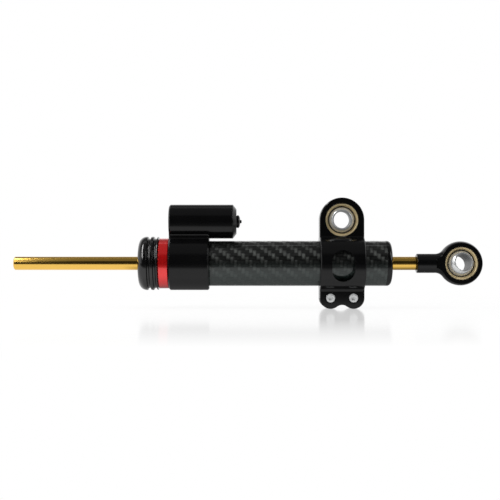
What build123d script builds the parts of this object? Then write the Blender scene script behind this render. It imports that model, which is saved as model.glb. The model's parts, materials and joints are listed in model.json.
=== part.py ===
from build123d import *
import math
import os

# Linear steering damper: a through-rod damper with an outer carbon tube, a valve block with a
# reservoir on it, a clamp with a spherical bearing and a rod eye with another.
# Origin at the centre of the clamp's ball. +X runs along the rod to its eye, +Z is up, and the
# bolt through the clamp's ball runs along Y. The damper's own axis lies axis_drop below.
# A station is a place along X.

# Clearances
run_gap = 0.05          # radial, a shaft that turns or slides in its bore
seat_gap = 0.02         # radial, a piece pressed, glued or screwed in its seat
free_gap = 0.3          # between pieces that pass each other
overrun = 1.0           # how far a cut runs past the face that it opens
edge_break = 0.5        # chamfer on the outer edges of milled pieces
fine_break = 0.3        # chamfer on small turned pieces

# Main lengths along the axis, at rest
axis_drop = 26.0        # the damper's axis below the clamp's ball
clamp_to_tube_end = 26.2
tube_shown = 105.3      # carbon tube between the valve block and the end cap
block_length = 24.0
ring_length = 6.0
knob_length = 11.7
rod_tail = 75.0         # rod shown beyond the knob
rod_shown = 15.6        # rod shown between the end cap and the eye

# Rod and piston
rod_radius = 4.0
rod_break = 0.6
piston_radius = 9.95
piston_length = 14.0
piston_station = -62.0  # middle of the piston at rest
piston_groove_width = 4.0
piston_groove_depth = 1.6
piston_face_recess = 1.5
piston_rim = 2.6
clip_thickness = 1.0
clip_groove_depth = 0.5
clip_radius = 5.6
clip_opening = 2.6
piston_seal_thickness = 1.5

# Tubes
cylinder_bore_radius = 10.0
cylinder_wall = 1.5
bypass_gap = 0.5        # annular oil passage between the two tubes
carbon_wall = 1.5
carbon_seat = 6.0       # depth of the carbon tube in the valve block
bypass_hole_radius = 1.0
bypass_hole_count = 4
bypass_hole_inset = 1.8
end_seal_depth = 0.8
end_seal_width = 0.9

# End cap
cap_lip = 3.2
cap_round = 2.3
cap_spigot = 14.0
cap_seal_inset = 4.0

# Bushes, rod seals and wipers
bush_wall = 1.5
right_bush_length = 8.0
left_bush_length = 4.0
seal_length = 3.0
seal_wall = 2.5
seal_lip = 0.9
wiper_length = 2.8
wiper_wall = 2.6
o_ring_radius = 0.8

# Valve block
block_radius = 16.0
block_end_break = 0.8
block_wall_left = 8.0   # depth of the rotor's pocket
block_wall = 7.0        # wall between the pocket and the cylinder
pocket_radius = 10.0
reservoir_rise = 25.0   # the reservoir's axis above the damper's
reservoir_radius = 10.2
reservoir_length = 37.8
reservoir_bore_radius = 8.0
reservoir_end_wall = 4.0
valley_round = 2.5
port_radius = 1.2
block_port_angle = 0.0

# Reservoir plug, filler screw and compensator
plug_flange = 2.4
plug_break_length = 2.1
plug_break_depth = 2.8
plug_spigot = 5.5
plug_recess = 3.0
plug_recess_radius = 5.8
filler_head_radius = 3.9
filler_head_height = 2.2
filler_dome_share = 0.62
filler_tip_radius = 0.9
filler_tip_height = 0.9
filler_thread_radius = 2.0
filler_thread_length = 4.0
filler_seal_thickness = 0.5
compensator_length_share = 0.445      # of the room between the bypass port and the plug
compensator_back_share = 0.165        # of the same room, free behind the piston at rest
compensator_floor = 2.2
compensator_wall = 2.4
compensator_spring_wire = 0.6
compensator_spring_turns = 5

# Adjuster: knob, rotor and detent ring
knob_radius = 16.0
knob_shoulder = 3.2
knob_groove_radius = 1.45
knob_groove_pitch = 3.85
knob_groove_count = 2
knob_first_groove = 6.3   # from the knob's outer face
knob_crest_round = 0.4
knob_face_wall = 2.0
knob_opening_radius = 6.9
neck_radius = 8.0
ring_radius = 15.0
ring_edge = 0.4
rotor_groove_width = 2.4
rotor_groove_deep = 2.2      # the metering groove runs from this depth
rotor_groove_shallow = 0.3   # to this one, half a turn round
rotor_feed_holes = 3
adjuster_turn_deg = 270.0
stop_pin_radius = 1.0
stop_pin_length = 4.0
stop_pin_proud = 1.2
stop_pin_circle = 9.8
stop_pin_angle = 210.0
slot_side_gap = 0.15
detent_ball_radius = 1.25
detent_circle = 13.0
detent_angle = 90.0
detent_bore_depth = 4.4
detent_ball_proud = 0.8
detent_channel_depth = 0.75
detent_dimple_depth = 0.25
detent_clicks = 20
detent_spring_wire = 0.18
detent_spring_turns = 4
ring_screw_circle = 12.3
ring_screw_radius = 1.25
ring_screw_head_radius = 2.2
ring_screw_head_height = 1.5
ring_screw_socket = 0.88
ring_screw_reach = 5.0
ring_screw_count = 3
ring_screw_first_angle = 30.0
grub_radius = 1.5
grub_inset = 4.3          # from the knob's outer face
grub_sunk = 1.2
grub_socket = 0.85

# Spherical bearings, alike in the clamp and in the rod eye
race_share = 0.7547       # the race's radius, of its housing's
ball_share = 0.8          # the ball's radius, of its race's
bolt_share = 0.625        # the bolt bore's radius, of its ball's
race_width = 8.0
race_lip = 0.7            # how far the race's lips close in on the ball
race_mouth = 0.6          # how far its mouth opens beyond the ball
ball_land = 0.2           # flat ring left on the ball's face
bolt_break = 0.6
ball_tilt_deg = 15.0      # the rod eye's ball leans this far at rest
ball_tilt_heading_deg = 39.0

# Rod eye
eye_radius = 13.25
eye_thickness = 10.0
shank_radius = 5.75
shank_reach = 26.3        # from the shank's face to the eye's centre
shank_round_length = 11.2
eye_fillet = 5.8
spigot_radius = 3.0
spigot_length = 11.5
spigot_bottom_room = 0.7

# Clamp
clamp_radius = 13.25
boss_thickness = 10.0
clamp_wall = 3.0
ear_thickness = 12.0
slit_width = 1.6
lobe_radius = 6.4
lobe_drop = 20.6          # the clamp screws below the damper's axis
notch_radius = 5.0
boss_fillet = 1.0
ear_fillet = 2.0
window_width = 13.5
window_height = 18.5
window_drop = 1.4         # the window's middle below the damper's axis
clamp_screw_radius = 1.5
clamp_screw_head_radius = 2.75
clamp_screw_head_height = 3.0
clamp_screw_sunk = 0.3
clamp_screw_socket = 1.25
clamp_screw_socket_depth = 1.6
clamp_screw_end_room = 0.4

# Stations worked out from the sizes above
tube_right = clamp_to_tube_end
cap_face = tube_right + cap_lip
shank_face = cap_face + rod_shown
eye_station = shank_face + shank_reach
block_right = tube_right - tube_shown
block_left = block_right - block_length
ring_left = block_left - ring_length
knob_right = ring_left - free_gap
knob_left = knob_right - knob_length
rod_left = knob_left - rod_tail
pocket_floor = block_left + block_wall_left
chamber_left = pocket_floor + block_wall
chamber_right = tube_right - cap_spigot
barrel_right = block_left + reservoir_length
plug_face = barrel_right + plug_flange

# Radii and heights worked out from the sizes above
damper_height = -axis_drop
reservoir_height = reservoir_rise - axis_drop
cylinder_radius = cylinder_bore_radius + cylinder_wall
bypass_radius = cylinder_radius + bypass_gap
carbon_radius = bypass_radius + carbon_wall
clamp_bore_radius = carbon_radius + run_gap
clamp_ring_radius = carbon_radius + clamp_wall
lobe_offset = clamp_radius - lobe_radius
lobe_height = damper_height - lobe_drop


def turned(outline, height=damper_height, rounds=()):
    """Piece turned about an X axis from (station, radius) points; rounds are (corner, radius)."""
    section = make_face(Polyline(*[(station, 0, radius) for station, radius in outline], close=True))
    for (station, radius), size in rounds:
        corner = section.vertices().sort_by_distance((station, 0, radius))[0]
        section = fillet(corner, size)
    return Pos(0, 0, height) * revolve(section, axis=Axis.X)


def ring(left, right, outer, inner, height=damper_height):
    """Plain turned ring between two stations."""
    return turned([(left, inner), (right, inner), (right, outer), (left, outer)], height)


def bar(left, right, radius, height=damper_height, depth=0):
    """Round bar along X between two stations."""
    from_left = (Align.CENTER, Align.CENTER, Align.MIN)
    upright = Cylinder(radius, right - left, rotation=(0, 90, 0), align=from_left)
    return Pos(left, depth, height) * upright


def cross_bar(station, height, radius, near, far):
    """Round bar along Y between two depths."""
    from_near = (Align.CENTER, Align.CENTER, Align.MIN)
    upright = Cylinder(radius, far - near, rotation=(-90, 0, 0), align=from_near)
    return Pos(station, near, height) * upright


def on_circle(radius, angle):
    """Depth and height of a point on a circle about the damper's axis."""
    turn = math.radians(angle)
    return radius * math.cos(turn), damper_height + radius * math.sin(turn)


def bar_on_circle(left, right, radius, circle, angle):
    """Round bar along X whose axis lies on a circle about the damper's axis."""
    depth, height = on_circle(circle, angle)
    return bar(left, right, radius, height, depth)


def turned_on_circle(outline, circle, angle):
    """Piece turned about an X axis that lies on a circle about the damper's axis."""
    depth, height = on_circle(circle, angle)
    return Pos(0, depth, 0) * turned(outline, height)


def o_ring(station, inner, outer, height=damper_height):
    """O-ring between two radii, a touch thinner than its room."""
    thickness = (outer - inner) / 2
    middle = (outer + inner) / 2
    return Pos(station, 0, height) * Torus(middle, thickness - seat_gap, rotation=(0, 90, 0))


def coil(left, right, middle_radius, wire_radius, turns, height, depth=0):
    """Helical spring along X between two stations, wire included."""
    rise = right - left - 2 * wire_radius
    start = (left + wire_radius, depth, height)
    path = Helix(rise / turns, rise, middle_radius, center=start, direction=(1, 0, 0))
    section = Plane(origin=path @ 0, z_dir=path % 0) * Circle(wire_radius)
    return sweep(section, path=path, is_frenet=True)


# Valve block and reservoir

gallery_station = pocket_floor - block_wall_left / 2
bypass_station = chamber_left + port_radius + fine_break


def valve_block():
    outline = Pos(0, damper_height) * Circle(block_radius)
    outline += Pos(0, reservoir_height) * Circle(reservoir_radius)
    outline = fillet(outline.vertices().filter_by(lambda corner: abs(corner.X) > free_gap), valley_round)
    body = Pos(block_left, 0, 0) * extrude(Plane.YZ * outline, block_length)
    ends = body.faces().filter_by(Axis.X)
    body = chamfer(ends.edges(), block_end_break)
    body += bar(block_left + block_end_break, barrel_right, reservoir_radius, reservoir_height)
    body -= bar(block_left - overrun, pocket_floor, pocket_radius)
    body -= bar(pocket_floor - overrun, pocket_floor + seal_length, rod_radius + seal_wall)
    body -= bar(pocket_floor, chamber_left + overrun, rod_radius + bush_wall)
    body -= bar(chamber_left, block_right + overrun, bypass_radius)
    body -= bar(block_right - carbon_seat, block_right + overrun, carbon_radius + seat_gap)
    body -= ring(
        block_right - carbon_seat - end_seal_depth,
        block_right,
        bypass_radius + end_seal_width,
        bypass_radius - overrun,
    )
    reservoir_floor = block_left + reservoir_end_wall
    body -= bar(reservoir_floor, barrel_right + overrun, reservoir_bore_radius, reservoir_height)
    for station in (gallery_station, bypass_station):
        middle = Pos(station, 0, (damper_height + reservoir_height) / 2)
        body -= middle * Cylinder(port_radius, reservoir_rise / 2)
    body -= bar_on_circle(
        pocket_floor - overrun, chamber_left + overrun, port_radius,
        cylinder_bore_radius - port_radius - fine_break, block_port_angle,
    )
    for angle in ring_screw_angles():
        body -= bar_on_circle(
            block_left - overrun, block_left + ring_screw_reach + free_gap, ring_screw_radius + seat_gap,
            ring_screw_circle, angle,
        )
    return body


def reservoir_plug():
    rim = reservoir_radius
    spigot = reservoir_bore_radius - seat_gap
    inner_face = barrel_right - plug_spigot
    body = turned(
        [
            (inner_face + plug_recess, 0),
            (inner_face + plug_recess, plug_recess_radius),
            (inner_face, plug_recess_radius),
            (inner_face, spigot),
            (barrel_right, spigot),
            (barrel_right, rim),
            (plug_face - plug_break_length, rim),
            (plug_face, rim - plug_break_depth),
            (plug_face, 0),
        ],
        reservoir_height,
    )
    seal_station = inner_face + plug_spigot / 2
    body -= ring(
        seal_station - o_ring_radius, seal_station + o_ring_radius,
        reservoir_bore_radius, reservoir_bore_radius - 2 * o_ring_radius, reservoir_height,
    )
    return body - bar(inner_face, plug_face + overrun, filler_thread_radius + seat_gap, reservoir_height)


def plug_o_ring():
    return o_ring(
        barrel_right - plug_spigot / 2,
        reservoir_bore_radius - 2 * o_ring_radius, reservoir_bore_radius, reservoir_height,
    )


def filler_screw():
    seat = plug_face + filler_seal_thickness
    top = plug_face + filler_head_height
    body = turned(
        [
            (plug_face - filler_thread_length, 0),
            (plug_face - filler_thread_length, filler_thread_radius - fine_break),
            (plug_face - filler_thread_length + fine_break, filler_thread_radius),
            (seat, filler_thread_radius),
            (seat, filler_head_radius),
            (seat + fine_break, filler_head_radius),
            (top, filler_head_radius * filler_dome_share),
            (top, filler_tip_radius),
            (top + filler_tip_height, filler_tip_radius),
            (top + filler_tip_height, 0),
        ],
        reservoir_height,
        rounds=[((top, filler_head_radius * filler_dome_share), fine_break)],
    )
    return body


def filler_seal():
    return ring(
        plug_face, plug_face + filler_seal_thickness,
        filler_head_radius - fine_break, filler_thread_radius + seat_gap, reservoir_height,
    )


# Compensator: a cup-shaped floating piston, its O-ring and its spring

compensator_room_left = bypass_station + port_radius
compensator_room = barrel_right - plug_spigot - compensator_room_left
compensator_length = compensator_room * compensator_length_share
compensator_left = compensator_room_left + compensator_room * compensator_back_share + free_gap


def compensator_piston():
    outer = reservoir_bore_radius - run_gap
    cup = outer - compensator_wall
    body = turned(
        [
            (compensator_left, 0),
            (compensator_left, outer),
            (compensator_left + compensator_length, outer),
            (compensator_left + compensator_length, cup),
            (compensator_left + compensator_floor, cup),
            (compensator_left + compensator_floor, 0),
        ],
        reservoir_height,
    )
    seal_station = compensator_left + compensator_length / 2
    return body - ring(
        seal_station - o_ring_radius, seal_station + o_ring_radius,
        reservoir_bore_radius, reservoir_bore_radius - 2 * o_ring_radius, reservoir_height,
    )


def compensator_o_ring():
    return o_ring(
        compensator_left + compensator_length / 2,
        reservoir_bore_radius - 2 * o_ring_radius, reservoir_bore_radius - run_gap, reservoir_height,
    )


def compensator_spring():
    seat_radius = reservoir_bore_radius - run_gap - compensator_wall
    return coil(
        compensator_left + compensator_floor, barrel_right - plug_spigot + plug_recess,
        seat_radius - compensator_spring_wire - free_gap, compensator_spring_wire,
        compensator_spring_turns, reservoir_height,
    )


# Adjuster ring, fixed to the block, with its screws, detent and stop pin

def ring_screw_angles():
    return [ring_screw_first_angle + 360 * copy / ring_screw_count for copy in range(ring_screw_count)]


def detent_ring():
    body = turned(
        [
            (ring_left, neck_radius + free_gap),
            (block_left, neck_radius + free_gap),
            (block_left, ring_radius - ring_edge),
            (block_left - ring_edge, ring_radius),
            (ring_left + ring_edge, ring_radius),
            (ring_left, ring_radius - ring_edge),
        ]
    )
    for angle in ring_screw_angles():
        body -= bar_on_circle(
            ring_left - overrun, block_left + overrun, ring_screw_radius + seat_gap, ring_screw_circle, angle
        )
        body -= turned_on_circle(
            [
                (ring_left - overrun, 0),
                (ring_left - overrun, ring_screw_head_radius + seat_gap),
                (ring_left + fine_break, ring_screw_head_radius + seat_gap),
                (ring_left + fine_break + ring_screw_head_height, ring_screw_radius + seat_gap),
                (ring_left + fine_break + ring_screw_head_height, 0),
            ],
            ring_screw_circle, angle,
        )
    body -= bar_on_circle(
        ring_left - overrun, ring_left + detent_bore_depth, detent_ball_radius + run_gap,
        detent_circle, detent_angle,
    )
    return body - bar_on_circle(
        ring_left - overrun, ring_left + stop_pin_length - stop_pin_proud, stop_pin_radius + seat_gap,
        stop_pin_circle, stop_pin_angle,
    )


def ring_screws():
    head_end = ring_left + fine_break + ring_screw_head_height
    outline = [
        (ring_left + fine_break, 0),
        (ring_left + fine_break, ring_screw_head_radius),
        (head_end, ring_screw_radius),
        (block_left + ring_screw_reach, ring_screw_radius),
        (block_left + ring_screw_reach, 0),
    ]
    screws = []
    for angle in ring_screw_angles():
        depth, height = on_circle(ring_screw_circle, angle)
        socket = Pos(ring_left, depth, height) * extrude(
            Plane.YZ * RegularPolygon(ring_screw_socket, 6), ring_screw_head_height
        )
        screws.append(turned_on_circle(outline, ring_screw_circle, angle) - socket)
    return Compound(children=screws)


def detent_ball():
    depth, height = on_circle(detent_circle, detent_angle)
    return Pos(ring_left - detent_ball_proud + detent_ball_radius, depth, height) * Sphere(detent_ball_radius)


def detent_spring():
    depth, height = on_circle(detent_circle, detent_angle)
    return coil(
        ring_left - detent_ball_proud + 2 * detent_ball_radius, ring_left + detent_bore_depth,
        detent_ball_radius - detent_spring_wire - slot_side_gap, detent_spring_wire,
        detent_spring_turns, height, depth,
    )


def stop_pin():
    return bar_on_circle(
        ring_left - stop_pin_proud, ring_left + stop_pin_length - stop_pin_proud, stop_pin_radius,
        stop_pin_circle, stop_pin_angle,
    )


# Knob and rotor, which turn together about the rod

def arc_channel(circle, half_width, depth, start_angle, arc):
    """Channel in the knob's inner face, swept about the damper's axis."""
    section = make_face(
        Polyline(
            (knob_right - depth, 0, circle - half_width),
            (knob_right + overrun, 0, circle - half_width),
            (knob_right + overrun, 0, circle + half_width),
            (knob_right - depth, 0, circle + half_width),
            close=True,
        )
    )
    swept = revolve(section, axis=Axis.X, revolution_arc=arc)
    return Pos(0, 0, damper_height) * Rot(start_angle - 90, 0, 0) * swept


def adjuster_knob():
    body = turned(
        [
            (knob_left, knob_opening_radius),
            (knob_left, knob_radius),
            (knob_right, knob_radius),
            (knob_right, neck_radius + seat_gap),
            (knob_left + knob_face_wall, neck_radius + seat_gap),
            (knob_left + knob_face_wall, knob_opening_radius),
        ],
        rounds=[((knob_left, knob_radius), knob_shoulder), ((knob_right, knob_radius), knob_crest_round)],
    )
    for groove in range(knob_groove_count):
        station = knob_left + knob_first_groove + groove * knob_groove_pitch
        body -= Pos(station, 0, damper_height) * Torus(knob_radius, knob_groove_radius, rotation=(0, 90, 0))
    crests = body.edges().filter_by(GeomType.CIRCLE).filter_by(
        lambda edge: abs(edge.radius - knob_radius) < fine_break
        and edge.center().X > knob_left + knob_shoulder
        and edge.center().X < knob_right - knob_crest_round - fine_break
    )
    body = fillet(crests, knob_crest_round)
    end_angle = math.degrees(math.asin((stop_pin_radius + slot_side_gap) / stop_pin_circle))
    body -= arc_channel(
        stop_pin_circle, stop_pin_radius + slot_side_gap, stop_pin_proud + free_gap,
        stop_pin_angle - adjuster_turn_deg - end_angle, adjuster_turn_deg + 2 * end_angle,
    )
    body -= arc_channel(detent_circle, detent_ball_radius, detent_channel_depth, 0, 360)
    for click in range(detent_clicks + 1):
        depth, height = on_circle(detent_circle, detent_angle - adjuster_turn_deg * click / detent_clicks)
        centre = knob_right - detent_channel_depth - detent_dimple_depth + detent_ball_radius
        body -= Pos(centre, depth, height) * Sphere(detent_ball_radius)
    return body - cross_bar(
        knob_left + grub_inset, damper_height, grub_radius + seat_gap, neck_radius, knob_radius + overrun
    )


def knob_grub_screw():
    near = neck_radius + seat_gap
    far = knob_radius - grub_sunk
    body = cross_bar(knob_left + grub_inset, damper_height, grub_radius, near, far)
    socket = Pos(knob_left + grub_inset, far, damper_height) * extrude(
        Plane.XZ * RegularPolygon(grub_socket, 6), (far - near) / 2
    )
    return body - socket


def rotor():
    flange_left = block_left + free_gap
    flange_right = pocket_floor - free_gap
    flange = pocket_radius - run_gap
    neck = neck_radius
    neck_left = knob_left + knob_face_wall
    bore = rod_radius + free_gap
    wiper = rod_radius + wiper_wall
    body = turned(
        [
            (neck_left, wiper + seat_gap),
            (neck_left, neck),
            (flange_left, neck),
            (flange_left, flange),
            (flange_right, flange),
            (flange_right, bore),
            (neck_left + wiper_length, bore),
            (neck_left + wiper_length, wiper + seat_gap),
        ]
    )
    seal_station = flange_left + 2 * o_ring_radius
    body -= ring(
        seal_station - o_ring_radius, seal_station + o_ring_radius,
        pocket_radius, pocket_radius - 2 * o_ring_radius,
    )
    groove = ring(
        gallery_station - rotor_groove_width / 2 + o_ring_radius,
        gallery_station + rotor_groove_width / 2 + o_ring_radius,
        pocket_radius + overrun, 0,
    )
    core = bar(
        gallery_station - rotor_groove_width, gallery_station + rotor_groove_width + overrun,
        flange - (rotor_groove_deep + rotor_groove_shallow) / 2,
        damper_height + (rotor_groove_deep - rotor_groove_shallow) / 2,
    )
    body -= groove - core
    for hole in range(rotor_feed_holes):
        angle = 360 * hole / rotor_feed_holes
        body -= bar_on_circle(
            gallery_station + o_ring_radius, flange_right + overrun, port_radius / 2,
            flange - rotor_groove_deep, angle,
        )
    return body


def rotor_o_ring():
    return o_ring(
        block_left + free_gap + 2 * o_ring_radius,
        pocket_radius - 2 * o_ring_radius, pocket_radius - run_gap,
    )


def lipped_seal(left, right, outer, lip_side):
    """Rod seal or wiper: a ring whose inner corner on one side is drawn out to a lip."""
    inner = rod_radius + run_gap
    relieved = inner + seal_lip
    if lip_side == "left":
        return turned([(left, inner), (right, relieved), (right, outer), (left, outer)])
    return turned([(left, relieved), (right, inner), (right, outer), (left, outer)])


def knob_wiper():
    left = knob_left + knob_face_wall
    return lipped_seal(left, left + wiper_length, rod_radius + wiper_wall, "left")


# Rod bushes and rod seals in the block

def left_bush():
    return ring(
        chamber_left - left_bush_length, chamber_left,
        rod_radius + bush_wall - seat_gap, rod_radius + run_gap,
    )


def left_rod_seal():
    return lipped_seal(pocket_floor, pocket_floor + seal_length, rod_radius + seal_wall - seat_gap, "right")


# Tubes and end cap

def inner_cylinder():
    body = ring(chamber_left, tube_right, cylinder_radius, cylinder_bore_radius)
    station = chamber_right - bypass_hole_inset
    for hole in range(bypass_hole_count):
        drill = Cylinder(bypass_hole_radius, carbon_radius, align=(Align.CENTER, Align.CENTER, Align.MIN))
        body -= Pos(station, 0, damper_height) * Rot(360 * hole / bypass_hole_count, 0, 0) * drill
    return body


def carbon_tube():
    return ring(block_right - carbon_seat, tube_right, carbon_radius, bypass_radius)


def tube_end_seals():
    inner = bypass_radius + seat_gap
    outer = bypass_radius + end_seal_width - seat_gap
    left_seat = block_right - carbon_seat
    left = ring(left_seat - end_seal_depth, left_seat, outer, inner)
    right = ring(tube_right, tube_right + end_seal_depth, outer, inner)
    return Compound(children=[left, right])


cap_bush_left = chamber_right + fine_break
cap_seal_left = cap_bush_left + right_bush_length + fine_break
cap_wiper_left = cap_face - wiper_length


def end_cap():
    spigot = cylinder_bore_radius - seat_gap
    body = turned(
        [
            (chamber_right, rod_radius + free_gap),
            (chamber_right, spigot),
            (tube_right, spigot),
            (tube_right, carbon_radius),
            (cap_face, carbon_radius),
            (cap_face, rod_radius + free_gap),
        ],
        rounds=[((cap_face, carbon_radius), cap_round)],
    )
    body -= ring(
        tube_right - overrun, tube_right + end_seal_depth, bypass_radius + end_seal_width, bypass_radius
    )
    body -= bar(chamber_right - overrun, cap_bush_left + right_bush_length, rod_radius + bush_wall)
    body -= bar(cap_seal_left, cap_seal_left + seal_length, rod_radius + seal_wall)
    body -= bar(cap_wiper_left, cap_face + overrun, rod_radius + wiper_wall)
    seal_station = chamber_right + cap_seal_inset
    return body - ring(
        seal_station - o_ring_radius, seal_station + o_ring_radius,
        cylinder_bore_radius, cylinder_bore_radius - 2 * o_ring_radius,
    )


def end_cap_o_ring():
    return o_ring(
        chamber_right + cap_seal_inset, cylinder_bore_radius - 2 * o_ring_radius, cylinder_bore_radius
    )


def right_bush():
    return ring(
        cap_bush_left, cap_bush_left + right_bush_length,
        rod_radius + bush_wall - seat_gap, rod_radius + run_gap,
    )


def right_rod_seal():
    return lipped_seal(cap_seal_left, cap_seal_left + seal_length, rod_radius + seal_wall - seat_gap, "left")


def right_wiper():
    return lipped_seal(cap_wiper_left, cap_face, rod_radius + wiper_wall - seat_gap, "right")


# Piston and rod

piston_left = piston_station - piston_length / 2
piston_right = piston_station + piston_length / 2


def piston():
    bore = rod_radius + run_gap
    body = ring(piston_left, piston_right, piston_radius, bore)
    rim = piston_radius - piston_rim
    for left, right in (
        (piston_left - overrun, piston_left + piston_face_recess),
        (piston_right - piston_face_recess, piston_right + overrun),
    ):
        body -= ring(left, right, rim, clip_radius + free_gap)
    body -= ring(
        piston_station - piston_groove_width / 2, piston_station + piston_groove_width / 2,
        piston_radius + overrun, piston_radius - piston_groove_depth,
    )
    return body - ring(
        piston_station - piston_seal_thickness / 2, piston_station + piston_seal_thickness / 2,
        rod_radius + piston_seal_thickness, rod_radius,
    )


def piston_ring():
    return ring(
        piston_station - piston_groove_width / 2, piston_station + piston_groove_width / 2,
        cylinder_bore_radius - seat_gap, piston_radius - piston_groove_depth + seat_gap,
    )


def piston_o_ring():
    return o_ring(piston_station, rod_radius + run_gap, rod_radius + piston_seal_thickness)


def clip_stations():
    """Left edges of the two circlips, one each side of the piston."""
    return piston_left - run_gap - clip_thickness, piston_right + run_gap


def piston_circlips():
    clips = []
    for left in clip_stations():
        clip = ring(left, left + clip_thickness, clip_radius, rod_radius - clip_groove_depth + seat_gap)
        gap = Pos(left + clip_thickness / 2, 0, damper_height - clip_radius) * Box(
            clip_thickness + overrun, clip_opening, clip_radius + rod_radius
        )
        clips.append(clip - gap)
    return Compound(children=clips)


def rod():
    body = turned(
        [
            (rod_left, 0),
            (rod_left, rod_radius - rod_break),
            (rod_left + rod_break, rod_radius),
            (shank_face, rod_radius),
            (shank_face, spigot_radius),
            (shank_face + spigot_length - fine_break, spigot_radius),
            (shank_face + spigot_length, spigot_radius - fine_break),
            (shank_face + spigot_length, 0),
        ]
    )
    for left in clip_stations():
        body -= ring(left, left + clip_thickness, rod_radius + overrun, rod_radius - clip_groove_depth)
    return body


# Spherical bearings

def race_radius(housing_radius):
    """Outer radius of the race in a housing of this radius."""
    return housing_radius * race_share


def bearing_ball(housing_radius):
    """Ball about the origin with its bore along Y."""
    ball_radius = race_radius(housing_radius) * ball_share
    bolt_radius = ball_radius * bolt_share
    face = bolt_radius + bolt_break + ball_land
    half = math.sqrt(ball_radius**2 - face**2)
    outline = Polyline(
        (face, half),
        (bolt_radius + bolt_break, half),
        (bolt_radius, half - bolt_break),
        (bolt_radius, bolt_break - half),
        (bolt_radius + bolt_break, -half),
        (face, -half),
    )
    crown = ThreePointArc((face, -half), (ball_radius, 0), (face, half))
    return revolve(make_face([outline, crown]), axis=Axis.Y)


def bearing_race(housing_radius):
    """Outer race about the origin, along Y, with a spherical seat for the ball."""
    half = race_width / 2
    outer = race_radius(housing_radius)
    ball_radius = outer * ball_share
    seat = ball_radius + run_gap
    lip_radius = ball_radius - race_lip
    mouth_radius = ball_radius + race_mouth
    lip = math.sqrt(seat**2 - lip_radius**2)
    outline = Polyline(
        (lip_radius, lip),
        (mouth_radius, half),
        (outer - fine_break, half),
        (outer, half - fine_break),
        (outer, fine_break - half),
        (outer - fine_break, -half),
        (mouth_radius, -half),
        (lip_radius, -lip),
    )
    hollow = ThreePointArc((lip_radius, -lip), (seat, 0), (lip_radius, lip))
    return revolve(make_face([outline, hollow]), axis=Axis.Y)


def clamp_ball():
    return bearing_ball(clamp_radius)


def clamp_race():
    return bearing_race(clamp_radius)


def eye_ball():
    heading = math.radians(ball_tilt_heading_deg)
    lean = Axis((0, 0, 0), (-math.sin(heading), 0, math.cos(heading)))
    return Pos(eye_station, 0, damper_height) * bearing_ball(eye_radius).rotate(lean, ball_tilt_deg)


def eye_race():
    return Pos(eye_station, 0, damper_height) * bearing_race(eye_radius)


# Rod eye: a turned shank and flare, milled flat each side of the bearing

def rod_eye():
    meet = shank_radius + eye_fillet
    reach = math.sqrt((eye_radius + eye_fillet) ** 2 - meet**2)
    flare_start = eye_station - reach
    touch = eye_radius / (eye_radius + eye_fillet)
    touch_point = (eye_station - reach * touch, 0, meet * touch)
    half_turn = (math.pi / 2 - math.asin(meet / (eye_radius + eye_fillet))) / 2
    shank = Polyline(
        (eye_station + eye_radius, 0, 0),
        (shank_face, 0, 0),
        (shank_face, 0, shank_radius - fine_break),
        (shank_face + fine_break, 0, shank_radius),
        (flare_start, 0, shank_radius),
    )
    flare = ThreePointArc(
        (flare_start, 0, shank_radius),
        (flare_start + eye_fillet * math.sin(half_turn), 0, meet - eye_fillet * math.cos(half_turn)),
        touch_point,
    )
    crown = ThreePointArc(touch_point, (eye_station, 0, eye_radius), (eye_station + eye_radius, 0, 0))
    body = Pos(0, 0, damper_height) * revolve(make_face([shank, flare, crown]), axis=Axis.X)
    for side, align in ((-1, Align.MAX), (1, Align.MIN)):
        body -= Pos(shank_face + shank_round_length, side * eye_thickness / 2, damper_height) * Box(
            2 * shank_reach, eye_radius, 2 * (eye_radius + overrun), align=(Align.MIN, align, Align.CENTER)
        )
    race_bore = race_radius(eye_radius) + run_gap
    body -= cross_bar(eye_station, damper_height, race_bore, -eye_thickness, eye_thickness)
    spigot_floor = shank_face + spigot_length + spigot_bottom_room
    return body - bar(shank_face - overrun, spigot_floor, spigot_radius + seat_gap)


# Clamp

def clamp_blank():
    """Front outline pushed through, cut to the side outline, with its edges broken."""
    lobes = [Pos(side * lobe_offset, lobe_height) * Circle(lobe_radius) for side in (-1, 1)]
    notch_height = lobe_height - math.sqrt((lobe_radius + notch_radius) ** 2 - lobe_offset**2)
    bridge_corners = (-lobe_offset, lobe_height), (lobe_offset, lobe_height), (0, notch_height)
    bridge = make_face(Polyline(*bridge_corners, close=True))
    plate = Pos(0, lobe_height / 2) * Rectangle(2 * clamp_radius, -lobe_height)
    front = Circle(clamp_radius) + plate + lobes[0] + lobes[1] + bridge
    front -= Pos(0, notch_height) * Circle(notch_radius)
    boss = Pos(0, (damper_height + clamp_radius) / 2) * Rectangle(boss_thickness, clamp_radius + axis_drop)
    ear_length = lobe_drop + lobe_radius
    ears = Pos(0, damper_height - ear_length / 2) * Rectangle(ear_thickness, ear_length)
    side = boss + ears + Pos(0, damper_height) * Circle(clamp_ring_radius)
    boss_corner = math.sqrt(clamp_ring_radius**2 - (boss_thickness / 2) ** 2)
    ear_corner = math.sqrt(clamp_ring_radius**2 - (ear_thickness / 2) ** 2)
    corners = (boss_thickness / 2, boss_corner, boss_fillet), (ear_thickness / 2, -ear_corner, ear_fillet)
    for half, rise, size in corners:
        for flank in (-1, 1):
            corner = side.vertices().sort_by_distance((flank * half, damper_height + rise, 0))[0]
            side = fillet(corner, size)
    through = extrude(Plane.XZ * front, clamp_ring_radius, both=True)
    across = extrude(Plane.YZ * side, clamp_radius, both=True)
    return through & across


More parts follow.
